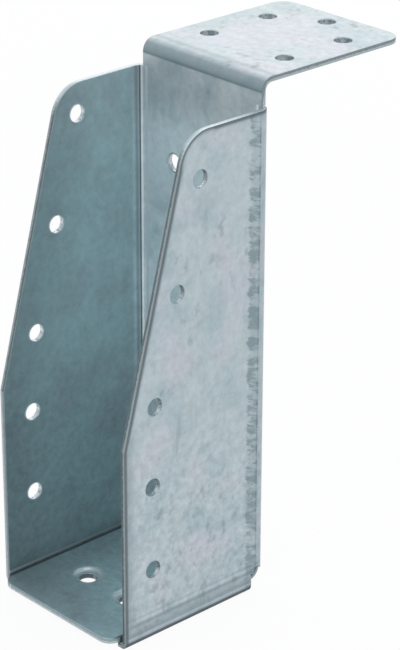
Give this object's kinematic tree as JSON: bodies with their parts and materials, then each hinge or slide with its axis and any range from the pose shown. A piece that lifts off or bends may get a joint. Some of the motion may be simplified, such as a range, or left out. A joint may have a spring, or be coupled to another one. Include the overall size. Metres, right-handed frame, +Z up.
{
  "type": "joist hanger",
  "caption": "Folded galvanised steel hanger that carries the end of a timber joist from a lip nailed over the top of a header.",
  "frame": {"origin": "centre of the joist width, where the plane of the seat's top face meets the plane of the back's front face", "axes": "+Z up, +Y into the header that carries the hanger, X across the joist"},
  "size_m": [0.0516, 0.1088, 0.1509],
  "materials": {
    "galvanised_steel": "spangled hot-dip galvanised sheet with dull cut edges"
  },
  "bodies": {
    "root": {"hanger": "galvanised_steel"}
  },
  "joints": []
}
